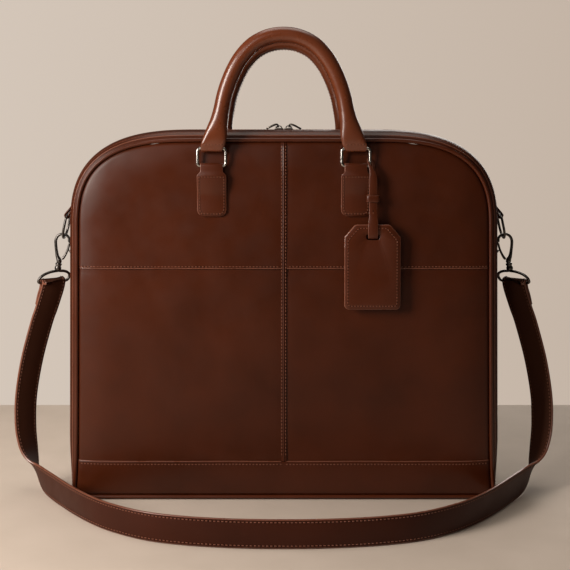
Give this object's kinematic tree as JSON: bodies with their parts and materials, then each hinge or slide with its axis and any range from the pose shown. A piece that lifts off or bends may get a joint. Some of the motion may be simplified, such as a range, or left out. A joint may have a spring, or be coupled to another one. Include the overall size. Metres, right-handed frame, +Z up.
{
  "type": "garment bag",
  "caption": "Zip-round folding leather garment bag with twin rolled handles on rings, a clip-on shoulder strap and a hanging luggage tag.",
  "frame": {"origin": "centre of the flat base, on the surface the bag stands on", "axes": "+X to the bag's left as it faces the viewer's right, +Y from the front face to the back face, +Z up"},
  "size_m": [0.7378, 0.3059, 0.6237],
  "materials": {
    "leather": "smooth reddish-brown pull-up leather",
    "trim_leather": "rolled and folded reddish-brown trim leather",
    "strap_leather": "thick strap leather with stitched, painted edges",
    "lining": "plain woven twill",
    "zip_tape": "woven tape carrying metal teeth",
    "zip_metal": "antiqued dark metal",
    "ring_metal": "polished nickel",
    "hook_metal": "gunmetal plated"
  },
  "bodies": {
    "back_half": {"back_upper_panel_left": "leather", "back_upper_panel_right": "leather", "back_lower_panel_left": "leather", "back_lower_panel_right": "leather", "back_centre_welt": "trim_leather", "back_base_band": "leather", "back_piping": "trim_leather", "back_gusset": "leather", "back_zip_tape": "zip_tape", "back_lining": "lining", "back_patch_left": "trim_leather", "back_patch_right": "trim_leather", "base_panel": "trim_leather", "d_ring_tab_left": "trim_leather", "d_ring_tab_right": "trim_leather"},
    "front_half": {"front_upper_panel_left": "leather", "front_upper_panel_right": "leather", "front_lower_panel_left": "leather", "front_lower_panel_right": "leather", "front_centre_welt": "trim_leather", "front_base_band": "leather", "front_piping": "trim_leather", "front_gusset": "leather", "front_zip_tape": "zip_tape", "front_lining": "lining", "front_patch_left": "trim_leather", "front_patch_right": "trim_leather", "front_ring_left": "ring_metal", "front_ring_right": "ring_metal"},
    "front_handle": {"front_handle": "trim_leather"},
    "back_rings": {"back_ring_left": "ring_metal", "back_ring_right": "ring_metal"},
    "back_handle": {"back_handle": "trim_leather"},
    "luggage_tag": {"tag_strap": "strap_leather", "tag_keeper": "strap_leather", "tag_body": "trim_leather"},
    "shoulder_strap": {"shoulder_strap": "strap_leather", "swivel_loop_left": "hook_metal", "swivel_loop_right": "hook_metal"},
    "zip_slider_left": {"zip_slider_left": "zip_metal", "zip_bridge_left": "zip_metal"},
    "zip_pull_left": {"zip_pull_left": "zip_metal", "zip_eye_left": "zip_metal"},
    "d_ring_left": {"d_ring_left": "hook_metal"},
    "hook_left": {"hook_left": "hook_metal", "swivel_barrel_left": "hook_metal"},
    "gate_left": {"gate_left": "hook_metal", "gate_nub_left": "hook_metal"},
    "zip_slider_right": {"zip_slider_right": "zip_metal", "zip_bridge_right": "zip_metal"},
    "zip_pull_right": {"zip_pull_right": "zip_metal", "zip_eye_right": "zip_metal"},
    "d_ring_right": {"d_ring_right": "hook_metal"},
    "hook_right": {"hook_right": "hook_metal", "swivel_barrel_right": "hook_metal"},
    "gate_right": {"gate_right": "hook_metal", "gate_nub_right": "hook_metal"}
  },
  "joints": [
    {"name": "front_half_fold", "type": "hinge", "parent": "back_half", "child": "front_half", "pos_m": [0, -0.055, 0.004], "axis": [1, 0, 0], "range_deg": [0, 48]},
    {"name": "front_handle_tilt", "type": "hinge", "parent": "front_half", "child": "front_handle", "pos_m": [0, -0.0664, 0.4662], "axis": [1, 0, 0], "range_deg": [0, 90]},
    {"name": "back_rings_tilt", "type": "hinge", "parent": "back_half", "child": "back_rings", "pos_m": [0, 0.0664, 0.4435], "axis": [-1, 0, 0], "range_deg": [0, 70]},
    {"name": "back_handle_tilt", "type": "hinge", "parent": "back_rings", "child": "back_handle", "pos_m": [0, 0.0664, 0.4662], "axis": [-1, 0, 0], "range_deg": [0, 90]},
    {"name": "luggage_tag_swing", "type": "hinge", "parent": "front_half", "child": "luggage_tag", "pos_m": [0.1121, -0.0664, 0.448], "axis": [-1, 0, 0], "range_deg": [0, 40]},
    {"name": "shoulder_strap_swing", "type": "hinge", "parent": "back_half", "child": "shoulder_strap", "pos_m": [0, 0.018, 0.35683], "axis": [-1, 0, 0], "range_deg": [0, 66]},
    {"name": "zip_slider_left_slide", "type": "slide", "parent": "back_half", "child": "zip_slider_left", "axis": [-1, 0, 0], "range_m": [0, 0.085]},
    {"name": "zip_pull_left_flip", "type": "hinge", "parent": "zip_slider_left", "child": "zip_pull_left", "pos_m": [-0.0065, 0, 0.494], "axis": [0, 1, 0], "range_deg": [0, 85]},
    {"name": "d_ring_left_swing", "type": "hinge", "parent": "back_half", "child": "d_ring_left", "pos_m": [-0.2975, 0.018, 0.3715], "axis": [0, 1, 0], "range_deg": [-4, 4]},
    {"name": "hook_left_swivel", "type": "hinge", "parent": "shoulder_strap", "child": "hook_left", "pos_m": [-0.31127, 0.018, 0.30605], "axis": [-0.1822, 0, -0.9833], "range_deg": [-8, 8]},
    {"name": "gate_left_open", "type": "hinge", "parent": "hook_left", "child": "gate_left", "pos_m": [-0.30544, 0.018, 0.31229], "axis": [0, -1, 0], "range_deg": [0, 22], "stiffness_Nm_per_rad": 0.02, "springref_deg": -11.46},
    {"name": "zip_slider_right_slide", "type": "slide", "parent": "back_half", "child": "zip_slider_right", "axis": [1, 0, 0], "range_m": [0, 0.085]},
    {"name": "zip_pull_right_flip", "type": "hinge", "parent": "zip_slider_right", "child": "zip_pull_right", "pos_m": [0.0065, 0, 0.494], "axis": [0, -1, 0], "range_deg": [0, 85]},
    {"name": "d_ring_right_swing", "type": "hinge", "parent": "back_half", "child": "d_ring_right", "pos_m": [0.2975, 0.018, 0.3715], "axis": [0, -1, 0], "range_deg": [-4, 4]},
    {"name": "hook_right_swivel", "type": "hinge", "parent": "shoulder_strap", "child": "hook_right", "pos_m": [0.31127, 0.018, 0.30605], "axis": [0.1822, 0, -0.9833], "range_deg": [-8, 8]},
    {"name": "gate_right_open", "type": "hinge", "parent": "hook_right", "child": "gate_right", "pos_m": [0.30544, 0.018, 0.31229], "axis": [0, 1, 0], "range_deg": [0, 22], "stiffness_Nm_per_rad": 0.02, "springref_deg": -11.46}
  ]
}
